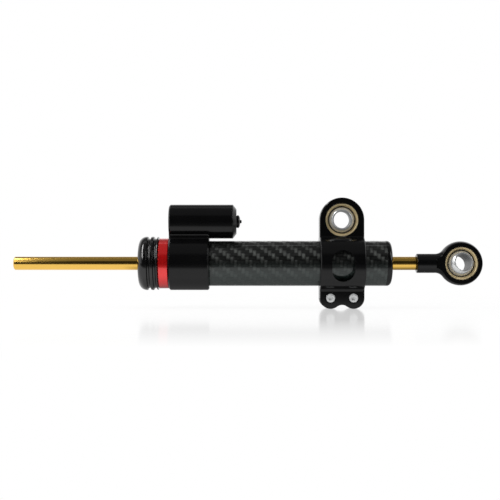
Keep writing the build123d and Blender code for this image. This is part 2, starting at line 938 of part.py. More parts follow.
def clamp():
    body = clamp_blank()
    body = chamfer(sharp_outline(body), edge_break)
    window = Pos(0, damper_height - window_drop) * SlotOverall(window_height, window_width, rotation=90)
    body -= extrude(Plane.XZ * window, clamp_ring_radius + overrun, both=True)
    race_bore = race_radius(clamp_radius) + run_gap
    body -= cross_bar(0, 0, race_bore, -clamp_ring_radius, clamp_ring_radius)
    body -= bar(-clamp_radius - overrun, clamp_radius + overrun, clamp_bore_radius)
    slit_top = damper_height - carbon_radius / 2
    body -= Pos(0, 0, slit_top) * Box(
        2 * (clamp_radius + overrun), slit_width, slit_top - lobe_height + 2 * lobe_radius,
        align=(Align.CENTER, Align.CENTER, Align.MAX),
    )
    head_floor = clamp_screw_head_height + clamp_screw_sunk - ear_thickness / 2
    head_bore = clamp_screw_head_radius + free_gap
    for side in (-1, 1):
        station = side * lobe_offset
        body -= cross_bar(station, lobe_height, clamp_screw_radius + seat_gap, -ear_thickness, ear_thickness)
        body -= cross_bar(station, lobe_height, head_bore, -ear_thickness, head_floor)
    return body


def sharp_outline(body):
    """Edges of the blank that run along neither X nor Y: its whole outer outline, front and back."""
    def runs_across(edge):
        start, end = edge @ 0, edge @ 1
        along_x = abs(end.Y - start.Y) < seat_gap and abs(end.Z - start.Z) < seat_gap
        along_y = abs(end.X - start.X) < seat_gap and abs(end.Z - start.Z) < seat_gap
        return not (edge.geom_type == GeomType.LINE and (along_x or along_y))
    return body.edges().filter_by(runs_across)


def clamp_screws():
    screws = []
    head_top = clamp_screw_sunk - ear_thickness / 2
    head_floor = head_top + clamp_screw_head_height
    shank_end = ear_thickness / 2 - clamp_screw_end_room
    for side in (-1, 1):
        station = side * lobe_offset
        head = cross_bar(station, lobe_height, clamp_screw_head_radius, head_top, head_floor)
        head = chamfer(head.edges().filter_by(GeomType.CIRCLE), fine_break)
        hexagon = Plane.XZ * RegularPolygon(clamp_screw_socket, 6, major_radius=False)
        socket_floor = Pos(station, head_top + clamp_screw_socket_depth, lobe_height)
        socket = socket_floor * extrude(hexagon, clamp_screw_socket_depth + overrun)
        shank = cross_bar(station, lobe_height, clamp_screw_radius, head_floor - fine_break, shank_end)
        screws.append(head + shank - socket)
    return Compound(children=screws)


pieces = {
    "valve_block": valve_block,
    "reservoir_plug": reservoir_plug,
    "plug_o_ring": plug_o_ring,
    "filler_screw": filler_screw,
    "filler_seal": filler_seal,
    "compensator_piston": compensator_piston,
    "compensator_o_ring": compensator_o_ring,
    "compensator_spring": compensator_spring,
    "detent_ring": detent_ring,
    "ring_screws": ring_screws,
    "detent_ball": detent_ball,
    "detent_spring": detent_spring,
    "stop_pin": stop_pin,
    "adjuster_knob": adjuster_knob,
    "knob_grub_screw": knob_grub_screw,
    "rotor": rotor,
    "rotor_o_ring": rotor_o_ring,
    "knob_wiper": knob_wiper,
    "left_bush": left_bush,
    "left_rod_seal": left_rod_seal,
    "inner_cylinder": inner_cylinder,
    "carbon_tube": carbon_tube,
    "tube_end_seals": tube_end_seals,
    "end_cap": end_cap,
    "end_cap_o_ring": end_cap_o_ring,
    "right_bush": right_bush,
    "right_rod_seal": right_rod_seal,
    "right_wiper": right_wiper,
    "piston": piston,
    "piston_ring": piston_ring,
    "piston_o_ring": piston_o_ring,
    "piston_circlips": piston_circlips,
    "rod": rod,
    "rod_eye": rod_eye,
    "eye_race": eye_race,
    "eye_ball": eye_ball,
    "clamp": clamp,
    "clamp_screws": clamp_screws,
    "clamp_race": clamp_race,
    "clamp_ball": clamp_ball,
}

os.makedirs("parts", exist_ok=True)
for node, make in pieces.items():
    export_step(make(), f"parts/{node}.step")
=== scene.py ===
"""Steering damper in a small white studio: finishes for the machined pieces, and the turned and
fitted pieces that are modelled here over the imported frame. Lengths are in metres."""
import json
import math

import bpy
from bpy.props import FloatProperty, FloatVectorProperty, IntProperty, PointerProperty
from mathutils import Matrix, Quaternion, Vector


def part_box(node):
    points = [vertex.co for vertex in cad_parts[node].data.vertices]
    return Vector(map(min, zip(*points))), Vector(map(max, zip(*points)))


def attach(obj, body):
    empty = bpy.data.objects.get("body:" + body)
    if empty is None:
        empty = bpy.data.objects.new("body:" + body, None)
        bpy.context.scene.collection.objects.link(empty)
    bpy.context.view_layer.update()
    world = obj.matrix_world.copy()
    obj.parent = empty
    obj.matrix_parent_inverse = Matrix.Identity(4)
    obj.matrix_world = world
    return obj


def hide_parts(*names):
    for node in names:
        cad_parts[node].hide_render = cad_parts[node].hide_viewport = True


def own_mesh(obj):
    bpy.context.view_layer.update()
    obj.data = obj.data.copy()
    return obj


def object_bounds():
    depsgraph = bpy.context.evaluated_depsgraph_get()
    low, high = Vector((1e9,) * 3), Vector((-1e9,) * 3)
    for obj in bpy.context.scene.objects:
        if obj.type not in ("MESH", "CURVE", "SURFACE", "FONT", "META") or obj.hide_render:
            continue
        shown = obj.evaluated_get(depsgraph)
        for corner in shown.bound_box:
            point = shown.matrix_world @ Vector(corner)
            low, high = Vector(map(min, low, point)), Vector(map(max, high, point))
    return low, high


bl_info = {
    "name": "Steering damper",
    "version": (1, 0, 0),
    "blender": (4, 5, 0),
    "location": "View3D > Sidebar > Damper",
    "description": "Dresses a linear steering damper and sets it in a white studio",
    "category": "Object",
}

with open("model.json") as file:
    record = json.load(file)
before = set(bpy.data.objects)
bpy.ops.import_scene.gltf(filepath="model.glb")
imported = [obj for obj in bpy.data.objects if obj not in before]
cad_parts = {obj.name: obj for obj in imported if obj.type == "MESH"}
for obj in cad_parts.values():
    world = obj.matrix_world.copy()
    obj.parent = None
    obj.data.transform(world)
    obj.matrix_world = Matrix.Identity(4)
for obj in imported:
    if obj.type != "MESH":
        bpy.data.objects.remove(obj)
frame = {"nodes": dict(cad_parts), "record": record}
CAD_BOX = [list(corner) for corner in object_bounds()]
MM = 0.001


def middle_height(node):
    """Height of a turned node's axis."""
    low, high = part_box(node)
    return (low.z + high.z) / 2


def slot_nodes(slot):
    """Names of the CAD nodes that the record gives this finish."""
    return [part["node"] for part in frame["record"]["subparts"] if part["material_slot"] == slot]


AXIS_HEIGHT = middle_height("carbon_tube")
MIDDLE_STATION = (CAD_BOX[0][0] + CAD_BOX[1][0]) / 2


# Sizes and colours that a user may change

COLOUR = {"subtype": "COLOR", "size": 3, "min": 0, "max": 1}
LENGTH = {"subtype": "DISTANCE", "unit": "LENGTH"}
SHARE = {"subtype": "FACTOR", "min": 0, "max": 1}


class DAMPER_Colours(bpy.types.PropertyGroup):
    """Colours of the finishes"""
    black: FloatVectorProperty(
        name="Black anodise", description="Dye of the black machined pieces",
        default=(0.0028, 0.0028, 0.0030), **COLOUR,
    )
    red: FloatVectorProperty(
        name="Red anodise", description="Dye of the detent ring", default=(0.92, 0.007, 0.008), **COLOUR,
    )
    rod: FloatVectorProperty(
        name="Rod coating", description="Gold nitride coating of the rod",
        default=(0.87, 0.54, 0.115), **COLOUR,
    )
    race: FloatVectorProperty(
        name="Race", description="Gold finish of the bearing races", default=(0.96, 0.74, 0.43), **COLOUR,
    )
    steel: FloatVectorProperty(
        name="Steel", description="Balls, screws and springs", default=(0.74, 0.75, 0.75), **COLOUR,
    )
    fibre: FloatVectorProperty(
        name="Carbon fibre", description="Fibre under the lacquer", default=(0.033, 0.035, 0.033), **COLOUR,
    )
    # Painted underside: an even tone painted on the tube's underside, standing for the shade and floor
    # reflection there, which hide the weave
    painted_underside: FloatVectorProperty(
        name="Lacquer haze", description="Lacquer on the tube's underside, where it hides the weave",
        default=(0.017, 0.033, 0.029), **COLOUR,
    )
    bronze: FloatVectorProperty(
        name="Bronze", description="Bushes inside", default=(0.42, 0.23, 0.09), **COLOUR,
    )
    aluminium: FloatVectorProperty(
        name="Aluminium", description="Bare pieces inside", default=(0.68, 0.69, 0.70), **COLOUR,
    )
    slide: FloatVectorProperty(
        name="Slide ring", description="Filled plastic of the piston ring",
        default=(0.16, 0.10, 0.06), **COLOUR,
    )


class DAMPER_Sizes(bpy.types.PropertyGroup):
    """Sizes of what is modelled here and that the frame's boxes don't give"""
    facets: IntProperty(
        name="Facets", description="Sides round each turned piece", min=24, max=256, default=144,
    )
    tow_width: FloatProperty(
        name="Tow width", description="Width of one band of fibres in the weave",
        default=2.22 * MM, **LENGTH,
    )
    tows_around: IntProperty(
        name="Tows around", description="Bands of fibres round the tube, a multiple of four",
        min=4, max=200, default=40,
    )
    tube_wall: FloatProperty(
        name="Tube wall", description="Thickness of the carbon tube", default=1.5 * MM, **LENGTH,
    )
    tube_edge: FloatProperty(
        name="Tube edge", description="Bevel on the ends of the carbon tube", default=0.12 * MM, **LENGTH,
    )
    knob_shoulder: FloatProperty(
        name="Knob shoulder", description="Round of the knob's outer corner", default=4.6 * MM, **LENGTH,
    )
    knob_pitch: FloatProperty(
        name="Rib pitch", description="From one rib of the knob to the next", default=3.6 * MM, **LENGTH,
    )
    knob_groove: FloatProperty(
        name="Knob groove", description="Radius of the round bottom of each groove",
        default=0.9 * MM, **LENGTH,
    )
    knob_crown: FloatProperty(
        name="Rib crown", description="Radius of each rib's rounded top", default=3.1 * MM, **LENGTH,
    )
    knob_opening: FloatProperty(
        name="Knob opening", description="Radius of the knob's hole for the rod's wiper",
        default=6.9 * MM, **LENGTH,
    )
    knob_neck: FloatProperty(
        name="Knob neck", description="Radius of the knob's fit on the rotor", default=8.02 * MM, **LENGTH,
    )
    knob_wall: FloatProperty(
        name="Knob wall", description="Thickness of the knob's outer face", default=2.0 * MM, **LENGTH,
    )
    fine_edge: FloatProperty(
        name="Fine edge", description="Bevel on the knob's turned edges", default=0.22 * MM, **LENGTH,
    )
    clip_width: FloatProperty(
        name="Circlip groove width", description="Width of each groove in the rod",
        default=1.0 * MM, **LENGTH,
    )
    clip_depth: FloatProperty(
        name="Circlip groove depth", description="Depth of each groove in the rod",
        default=0.5 * MM, **LENGTH,
    )
    spigot: FloatProperty(
        name="Spigot", description="Radius of the rod's end in the rod eye", default=3.0 * MM, **LENGTH,
    )
    spring_wire: FloatProperty(
        name="Spring wire", description="Diameter of the compensator spring's wire",
        default=1.2 * MM, **LENGTH,
    )
    spring_turns: IntProperty(
        name="Spring turns", description="Turns of the compensator's spring", min=1, max=20, default=5,
    )
    screw_socket: FloatProperty(
        name="Screw socket", description="Across the flats of the clamp screws' sockets",
        default=2.5 * MM, **LENGTH,
    )
    screw_shank: FloatProperty(
        name="Screw shank", description="Diameter of the clamp screws", default=3.0 * MM, **LENGTH,
    )
    screw_head: FloatProperty(
        name="Screw head", description="Height of the clamp screws' heads", default=3.0 * MM, **LENGTH,
    )


class DAMPER_Studio(bpy.types.PropertyGroup):
    """Camera and light of the studio"""
    camera_distance: FloatProperty(
        name="Camera distance", description="From the damper's middle plane", default=0.600, **LENGTH,
    )
    camera_station: FloatProperty(
        name="Camera station", description="Camera's place along the damper", default=-0.0548, **LENGTH,
    )
    camera_height: FloatProperty(
        name="Camera height", description="Above the clamp bolt's axis", default=-0.018, **LENGTH,
    )
    lens: FloatProperty(
        name="Lens", description="Focal length in millimetres on a 36 mm sensor",
        subtype="DISTANCE_CAMERA", unit="CAMERA", default=72,
    )
    key_power: FloatProperty(
        name="Key light", description="Power of the tall softbox in front, on the left",
        default=5.5, subtype="POWER",
    )
    side_power: FloatProperty(
        name="Side light", description="Power of the softbox on the right", default=1.6, subtype="POWER",
    )
    strip_power: FloatProperty(
        name="Overhead strip", description="Power of the strip above the damper",
        default=0.12, subtype="POWER",
    )
    ceiling: FloatProperty(
        name="Ceiling", description="Brightness of the ceiling, as a share of white", default=0.17, **SHARE,
    )
    fill: FloatProperty(
        name="Fill", description="Even light on matte surfaces, as a share of white", default=0.6, **SHARE,
    )
    left_wall: FloatProperty(
        name="Left wall", description="Brightness of the white wall on the left", default=1.0, **SHARE,
    )
    right_wall: FloatProperty(
        name="Right wall", description="Brightness of the grey wall on the right", default=0.2, **SHARE,
    )
    room: FloatProperty(
        name="Room", description="Brightness of the dim room behind the camera", default=0.015, **SHARE,
    )
    floor_gloss: FloatProperty(
        name="Floor gloss", description="Share of the floor sheet that is glossy", default=0.57, **SHARE,
    )


def colours():
    return bpy.context.scene.damper_colours


def sizes():
    return bpy.context.scene.damper_sizes


def studio():
    return bpy.context.scene.damper_studio


# Node helpers

class Nodes:
    """A node tree under construction. Most of its methods return an output to link onwards."""

    def __init__(self, tree):
        self.tree = tree

    def node(self, kind, **settings):
        """New node. Settings are its own properties. Inputs, by name or number, are values or links."""
        made = self.tree.nodes.new(kind)
        inputs = settings.pop("inputs", {})
        for key, value in settings.items():
            setattr(made, key, value)
        for key, value in inputs.items():
            if isinstance(value, bpy.types.NodeSocket):
                self.tree.links.new(value, made.inputs[key])
            else:
                made.inputs[key].default_value = value
        return made

    def math(self, operation, first, second=0.0, third=0.0):
        made = self.node("ShaderNodeMath", operation=operation, inputs={0: first, 1: second, 2: third})
        return made.outputs[0]

    def product(self, first, *others):
        for other in others:
            first = self.math("MULTIPLY", first, other)
        return first

    def greatest(self, first, *others):
        for other in others:
            first = self.math("MAXIMUM", first, other)
        return first

    def mix(self, share, first, second):
        """Colour between two others, by a share."""
        made = self.node("ShaderNodeMix", data_type="RGBA", inputs={0: share, 6: first, 7: second})
        return made.outputs[2]

    def join(self, x=0.0, y=0.0, z=0.0):
        return self.node("ShaderNodeCombineXYZ", inputs={0: x, 1: y, 2: z}).outputs[0]

    def split(self, vector):
        return self.node("ShaderNodeSeparateXYZ", inputs={0: vector}).outputs

    def length(self, vector):
        made = self.node("ShaderNodeVectorMath", operation="LENGTH", inputs={0: vector})
        return made.outputs["Value"]

    def noise(self, vector, scale, detail=2.0, roughness=0.5):
        inputs = {"Vector": vector, "Scale": scale, "Detail": detail, "Roughness": roughness}
        return self.node("ShaderNodeTexNoise", inputs=inputs).outputs[0]

    def ramp(self, value, start, end, low, high):
        """Goes from low to high while a value goes from start to end."""
        inputs = {"Value": value, "From Min": start, "From Max": end, "To Min": low, "To Max": high}
        return self.node("ShaderNodeMapRange", inputs=inputs).outputs[0]

    def spread(self, value, low, high):
        """Maps 0 to 1 onto low to high."""
        return self.ramp(value, 0.0, 1.0, low, high)


class Finish(Nodes):
    """A material under construction, with its one main shader."""

    def __init__(self, name):
        self.material = bpy.data.materials.new(name)
        self.material.use_nodes = True
        super().__init__(self.material.node_tree)
        self.shader = self.tree.nodes["Principled BSDF"]

    def place(self):
        """Place on the piece, in the frame's metres."""
        return self.node("ShaderNodeTexCoord").outputs["Object"]

    def lathe_lines(self, pitch):
        """Fine rings left by the lathe: uneven waves along the damper."""
        station = self.split(self.place())[0]
        fine = self.join(self.math("MULTIPLY", station, 1 / pitch))
        return self.noise(fine, scale=1.0, detail=3.0, roughness=0.7)

    def worn_edges(self, width):
        """Rounded edge normal, so that machined corners catch the light."""
        return self.node("ShaderNodeBevel", samples=6, inputs={"Radius": width}).outputs[0]

    def bump(self, height, distance, normal=None):
        made = self.node("ShaderNodeBump", inputs={"Height": height, "Distance": distance, "Strength": 1.0})
        if normal is not None:
            self.tree.links.new(normal, made.inputs["Normal"])
        return made.outputs[0]

    def set(self, **values):
        """Puts values or links on the main shader's sockets."""
        for key, value in values.items():
            socket = self.shader.inputs[key.replace("_", " ")]
            if isinstance(value, bpy.types.NodeSocket):
                self.tree.links.new(value, socket)
            else:
                socket.default_value = value


def tone(colour, gain=1.0):
    """Colour as the sockets want it, made lighter or darker."""
    return tuple(min(1.0, channel * gain) for channel in colour) + (1.0,)


# Finishes

def black_anodise(name, lathe=True, gloss=1.36, edge=0.28 * MM):
    """Satin black over turned or milled and blasted aluminium."""
    finish = Finish(name)
    place = finish.place()
    cloud = finish.noise(place, scale=90, detail=3)
    rounded = finish.worn_edges(edge) if edge else None
    if lathe:
        lines = finish.lathe_lines(pitch=0.09 * MM)
        normal = finish.bump(lines, distance=0.0002 * MM, normal=rounded)
        texture = finish.math("MULTIPLY_ADD", lines, 0.5, finish.math("MULTIPLY", cloud, 0.5))
    else:
        grain = finish.noise(place, scale=5200, detail=1)
        normal = finish.bump(grain, distance=0.0006 * MM, normal=rounded)
        texture = finish.math("MULTIPLY_ADD", grain, 0.4, finish.math("MULTIPLY", cloud, 0.6))
    dye = colours().black
    finish.set(
        Base_Color=finish.mix(texture, tone(dye, 0.75), tone(dye, 1.35)),
        Roughness=finish.spread(texture, 0.12, 0.19),
        Normal=normal,
        IOR=gloss,
    )
    return finish.material


def red_anodise():
    """Bright red dye over turned aluminium, its lathe lines showing through."""
    finish = Finish("red_anodise")
    lines = finish.lathe_lines(pitch=0.16 * MM)
    rounded = finish.worn_edges(width=0.25 * MM)
    dye = colours().red
    finish.set(
        Base_Color=finish.mix(lines, tone(dye, 0.7), tone(dye, 1.25)),
        Metallic=0.66,
        Roughness=finish.spread(lines, 0.20, 0.34),
        Normal=finish.bump(lines, distance=0.0015 * MM, normal=rounded),
        Coat_Weight=1.0,
        Coat_Roughness=0.12,
        Coat_IOR=1.6,
    )
    return finish.material


def rod_gold():
    """Ground and polished rod with a gold coating, faint grinding rings."""
    finish = Finish("rod_gold")
    lines = finish.lathe_lines(pitch=0.05 * MM)
    cloud = finish.noise(finish.place(), scale=55, detail=2)
    coat = colours().rod
    finish.set(
        Base_Color=finish.mix(cloud, tone(coat, 0.94), tone(coat, 1.05)),
        Metallic=1.0,
        Roughness=finish.spread(lines, 0.17, 0.20),
        Normal=finish.bump(lines, distance=0.00005 * MM),
    )
    return finish.material


def race_gold():
    """Gold race, turned about the bolt, with a soft polish."""
    finish = Finish("race_gold")
    cloud = finish.noise(finish.place(), scale=700, detail=3)
    metal = colours().race
    finish.set(
        Base_Color=finish.mix(cloud, tone(metal, 0.85), tone(metal, 1.15)),
        Metallic=0.52,
        Roughness=finish.spread(cloud, 0.30, 0.42),
        Normal=finish.bump(cloud, distance=0.0010 * MM),
    )
    return finish.material


def bright_steel(name, roughness, shine=1.0, grain=0.0006 * MM, lightness=1.0):
    """Steel from mirror to satin, by its range of roughness. Less shine stands for plating that scatters
    light. A lightness below 1 darkens the colour as painted shade, as inside the balls' bores."""
    finish = Finish(name)
    cloud = finish.noise(finish.place(), scale=420, detail=4, roughness=0.6)
    metal = colours().steel
    finish.set(
        Base_Color=finish.mix(cloud, tone(metal, 0.9 * lightness), tone(metal, 1.08 * lightness)),
        Metallic=shine,
        Roughness=finish.spread(cloud, *roughness),
        Normal=finish.bump(cloud, distance=grain),
    )
    return finish.material


def woven_carbon():
    """Two by two twill round the tube under clear lacquer. Each band of fibres is rounded across, dips at
    its ends and shines across its fibres.
    Painted shade darkens each band towards its rims, and lengthwise bands are painted darker, standing for
    their weaker sheen.
    Towards the underside the weave fades into an even painted tone that stands for the shade and floor
    reflection there."""
    finish = Finish("woven_carbon")
    x, y, z = finish.split(finish.place())
    up = finish.math("SUBTRACT", z, AXIS_HEIGHT)
    angle = finish.math("ARCTAN2", up, finish.math("MULTIPLY", y, -1.0))
    along_tube = finish.math("DIVIDE", x, sizes().tow_width)
    around_tube = finish.math("MULTIPLY", angle, sizes().tows_around / (2 * math.pi))

    column = finish.math("FLOOR", along_tube)
    row = finish.math("FLOOR", around_tube)
    column_share = finish.math("SUBTRACT", along_tube, column)
    row_share = finish.math("SUBTRACT", around_tube, row)
    step = finish.math("FLOORED_MODULO", finish.math("ADD", column, row), 4.0)
    lengthwise = finish.math("LESS_THAN", step, 1.5)
    half_step = finish.math("FLOORED_MODULO", step, 2.0)

    def pick(when_lengthwise, when_hoopwise):
        inputs = {0: lengthwise, 2: when_hoopwise, 3: when_lengthwise}
        return finish.node("ShaderNodeMix", data_type="FLOAT", inputs=inputs).outputs[0]

    def rounded(from_middle, power):
        """1 in the middle of a band, and 0 half its width or length from there."""
        share = finish.math("MULTIPLY", from_middle, 2.0)
        return finish.math("SUBTRACT", 1.0, finish.math("POWER", share, power))

    across = finish.math("SUBTRACT", pick(row_share, column_share), 0.5)
    run = finish.math("MULTIPLY", finish.math("ADD", half_step, pick(column_share, row_share)), 0.5)
    crown = rounded(across, 2.0)
    dip = rounded(finish.math("SUBTRACT", run, 0.5), 4.0)
    band_height = finish.product(crown, dip)

    strands_across = 22.0
    run_stretch = 1.2
    band_gap = 3.7
    band = finish.math("MULTIPLY", pick(row, column), band_gap)
    strand_place = finish.join(
        finish.math("MULTIPLY", run, run_stretch),
        finish.math("MULTIPLY", pick(around_tube, along_tube), strands_across),
        finish.math("ADD", band, lengthwise),
    )
    strands = finish.noise(strand_place, scale=1.0, detail=2.0)
    band_seed = finish.join(pick(row, column), lengthwise, pick(column, row))
    band_tone = finish.node("ShaderNodeTexWhiteNoise", inputs={"Vector": band_seed}).outputs["Value"]

    hoop = finish.join(0.0, finish.math("MULTIPLY", up, -1.0), y)
    hoop = finish.node("ShaderNodeVectorMath", operation="NORMALIZE", inputs={0: hoop}).outputs[0]
    across_fibres = finish.node(
        "ShaderNodeMix", data_type="VECTOR", inputs={0: lengthwise, 4: (1.0, 0.0, 0.0), 5: hoop}
    ).outputs[1]

    band_variation = 0.35
    shade_gain = 0.75
    # Painted sheen: lengthwise bands are painted darker than hoopwise ones, standing for their weaker sheen
    lengthwise_painted_dimming = 0.3
    uneven = finish.math("ADD", strands, finish.math("MULTIPLY", band_tone, band_variation))
    # Painted shade: each band is darker towards its rims, where it dips under its neighbours
    rims = finish.spread(band_height, 0.2, 1.0)
    shade = finish.product(uneven, shade_gain, rims, pick(lengthwise_painted_dimming, 1.0))
    fibre = colours().fibre
    weave = finish.mix(shade, tone(fibre, 0.12), tone(fibre, 3.9))
    # Painted shade and reflection: below the axis the weave fades into an even painted tone
    painted_underside_top = 2 * MM
    painted_underside_bottom = -6 * MM
    painted_underside_share = 0.75
    painted_underside = finish.ramp(up, painted_underside_bottom, painted_underside_top, painted_underside_share, 0.0)
    normal = finish.bump(band_height, distance=0.16 * MM)
    normal = finish.bump(strands, distance=0.012 * MM, normal=normal)
    finish.set(
        Base_Color=finish.mix(painted_underside, weave, tone(colours().painted_underside)),
        Metallic=0.75,
        Roughness=finish.spread(strands, 0.46, 0.56),
        Anisotropic=1.0,
        Tangent=across_fibres,
        Normal=normal,
        Coat_Weight=1.0,
        Coat_Roughness=0.03,
        Coat_IOR=1.5,
    )
    return finish.material


def soft_rubber(name="soft_rubber"):
    """Black rubber with a fine dull grain."""
    finish = Finish(name)
    grain = finish.noise(finish.place(), scale=2600, detail=2)
    dark = (0.010, 0.010, 0.011)
    pale = (0.024, 0.024, 0.025)
    finish.set(
        Base_Color=finish.mix(grain, tone(dark), tone(pale)),
        Roughness=finish.spread(grain, 0.45, 0.62),
        Normal=finish.bump(grain, distance=0.01 * MM),
    )
    return finish.material


def inner_metal(name, colour, roughness):
    """Turned metal that is seldom seen, with its tool marks."""
    finish = Finish(name)
    lines = finish.lathe_lines(pitch=0.12 * MM)
    finish.set(
        Base_Color=finish.mix(lines, tone(colour, 0.85), tone(colour, 1.12)),
        Metallic=1.0,
        Roughness=finish.spread(lines, *roughness),
        Normal=finish.bump(lines, distance=0.003 * MM),
    )
    return finish.material


def filled_plastic():
    """Brown plastic with darker flecks of its filler."""
    finish = Finish("filled_plastic")
    fleck = finish.noise(finish.place(), scale=1800, detail=3)
    slide = colours().slide
    finish.set(
        Base_Color=finish.mix(fleck, tone(slide, 0.7), tone(slide, 1.3)),
        Roughness=finish.spread(fleck, 0.35, 0.5),
        Normal=finish.bump(fleck, distance=0.004 * MM),
    )
    return finish.material


def paint(piece, material):
    """Puts one material on all of a piece."""
    if not piece.data.materials:
        piece.data.materials.append(material)
    for place in piece.material_slots:
        place.material = material


# Modelling helpers

def start_clean():
    """Leaves edit mode and deselects everything."""
    if bpy.context.mode != "OBJECT":
        bpy.ops.object.mode_set(mode="OBJECT")
    bpy.ops.object.select_all(action="DESELECT")


def choose(piece):
    """Makes a piece the only one selected."""
    start_clean()
    piece.select_set(True)
    bpy.context.view_layer.objects.active = piece


def fix_in_place(piece):
    """Bakes a piece's place into its mesh, so that its object sits at the origin."""
    choose(piece)
    bpy.ops.object.transform_apply(location=True, rotation=True, scale=True)
    piece.select_set(False)


def bevel_edges(piece, width, angle=35, segments=3):
    """Rounds a piece's sharp edges for good."""
    bpy.context.view_layer.objects.active = piece
    rounding = piece.modifiers.new("Edges", "BEVEL")
    rounding.width = width
    rounding.segments = segments
    rounding.limit_method = "ANGLE"
    rounding.angle_limit = math.radians(angle)
    rounding.use_clamp_overlap = True
    bpy.ops.object.modifier_apply(modifier=rounding.name)


def smooth(piece, angle):
    """Shades a piece smooth, apart from edges sharper than an angle."""
    choose(piece)
    bpy.ops.object.shade_smooth_by_angle(angle=math.radians(angle))
    piece.select_set(False)


def close_mesh(piece, threshold=0.0005 * MM, cap=False):
    """Merges points that lie together, closes open ends if asked, and turns the faces outwards."""
    choose(piece)
    bpy.ops.object.mode_set(mode="EDIT")
    bpy.ops.mesh.select_all(action="SELECT")
    bpy.ops.mesh.remove_doubles(threshold=threshold)
    if cap:
        bpy.ops.mesh.fill_holes(sides=0)
    bpy.ops.mesh.normals_make_consistent(inside=False)
    bpy.ops.object.mode_set(mode="OBJECT")


def turn(name, outline, height, closed=True, facets=None):
    """Piece turned about an axis along X: a ring of edges pushed along an outline of (station, radius)
    points. A closed outline makes a hollow piece; an open one is capped at both ends."""
    start_clean()
    station, radius = outline[0]
    bpy.ops.mesh.primitive_circle_add(
        vertices=facets or sizes().facets, radius=radius, location=(station, 0, height),
        rotation=(0, math.pi / 2, 0), fill_type="NOTHING",
    )
    piece = bpy.context.object
    piece.name = name
    fix_in_place(piece)
    bpy.ops.object.mode_set(mode="EDIT")
    bpy.ops.mesh.select_all(action="SELECT")
    if not closed:
        bpy.ops.mesh.edge_face_add()
    rest = outline[1:] + ([outline[0]] if closed else [])
    for next_station, next_radius in rest:
        bpy.ops.mesh.extrude_region_move(
            MESH_OT_extrude_region={}, TRANSFORM_OT_translate={"value": (next_station - station, 0, 0)}
        )
        share = next_radius / radius
        if share != 1:
            bpy.ops.transform.resize(value=(1, share, share), center_override=(next_station, 0, height))
        station, radius = next_station, next_radius
    bpy.ops.object.mode_set(mode="OBJECT")
    close_mesh(piece)
    return piece


def arc(centre_station, centre_radius, radius, start, end, steps):
    """Points of an arc in an outline, angles in degrees from the +X side towards larger radii."""
    points = []
    for step in range(steps + 1):
        angle = math.radians(start + (end - start) * step / steps)
        points.append((centre_station + radius * math.cos(angle), centre_radius + radius * math.sin(angle)))
    return points


def ball_outline(radius, half, steps):
    """Points of a ball's outline about the origin, from station -half to half."""
    stations = [-half + 2 * half * step / steps for step in range(steps + 1)]
    return [(station, math.sqrt(radius**2 - station**2)) for station in stations]


def cut_with(piece, cutter):
    """Cuts a piece with another, which is then gone."""
    bpy.context.view_layer.objects.active = piece
    cut = piece.modifiers.new("Cut", "BOOLEAN")
    cut.operation = "DIFFERENCE"
    cut.solver = "EXACT"
    cut.object = cutter
    bpy.ops.object.modifier_apply(modifier=cut.name)
    bpy.data.objects.remove(cutter)


def stand_about_y(piece, middle):
    """Turns a piece modelled along X about the origin so that it runs along Y, then sets it in place."""
    piece.rotation_euler = (0, 0, math.pi / 2)
    piece.location = middle
    fix_in_place(piece)


def paint_inside(piece, radius):
    """Gives the second material to what lies within a radius of the X axis."""
    for face in piece.data.polygons:
        if math.hypot(face.center.y, face.center.z) < radius:
            face.material_index = 1


def finish_piece(piece, body, nodes, slot, *materials):
    """Gives a piece its materials, hides the frame's nodes that it stands for and attaches it to the body
    that it moves with.
    """
    for material in materials:
        piece.data.materials.append(material)
    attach(piece, body)
    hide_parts(*nodes)


# Turned pieces of the adjuster, the rod and the tube

class DAMPER_OT_knob(bpy.types.Operator):
    """Adjuster knob: rounded shoulder, two round grooves and three ribs, with the hole for its grub screw"""
    bl_idname = "damper.knob"
    bl_label = "Adjuster knob"

    def execute(self, context):
        low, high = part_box("adjuster_knob")
        size = sizes()
        radius = (high.y - low.y) / 2
        shoulder = size.knob_shoulder
        inner_face = low.x + size.knob_wall
        crown_half = size.knob_pitch / 2 - size.knob_groove
        lean = math.degrees(math.asin(crown_half / size.knob_crown))
        crown_middle = radius - size.knob_crown
        crown_edge = radius - size.knob_crown * (1 - math.cos(math.radians(lean)))
        groove_sink = 0.22
        groove_middle = crown_edge - size.knob_groove * groove_sink
        outline = [(inner_face, size.knob_opening), (low.x, size.knob_opening)]
        outline += arc(low.x + shoulder, radius - shoulder, shoulder, 180, 90, steps=16)
        for rib in range(2):
            crest = low.x + shoulder + rib * size.knob_pitch
            next_crest = crest + size.knob_pitch
            groove = crest + size.knob_pitch / 2
            outline += arc(crest, crown_middle, size.knob_crown, 90, 90 - lean, steps=3)
            outline += arc(groove, groove_middle, size.knob_groove, 180, 360, steps=12)
            if next_crest < high.x:
                outline += arc(next_crest, crown_middle, size.knob_crown, 90 + lean, 90, steps=3)
        outline += [(high.x - size.fine_edge, crown_edge), (high.x, crown_edge), (high.x, size.knob_neck)]
        outline += [(inner_face, size.knob_neck)]
        knob = turn("knob", outline, middle_height("adjuster_knob"))
        bevel_edges(knob, size.fine_edge, angle=38)
        self.drill_grub_hole(knob)
        smooth(knob, angle=32)
        black = black_anodise("knob_black", gloss=1.56, edge=0)
        finish_piece(knob, "adjuster", ["adjuster_knob"], "black_anodised", black)
        return {"FINISHED"}

    def drill_grub_hole(self, knob):
        """The grub screw's hole, at the back."""
        low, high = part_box("knob_grub_screw")
        clearance = 0.02 * MM
        start = low.y - 1 * MM
        start_clean()
        bpy.ops.mesh.primitive_cylinder_add(
            vertices=32, radius=(high.x - low.x) / 2 + clearance, depth=high.y, rotation=(math.pi / 2, 0, 0),
            location=((low.x + high.x) / 2, start + high.y / 2, (low.z + high.z) / 2),
        )
        cut_with(knob, bpy.context.object)
        close_mesh(knob, threshold=0.002 * MM)


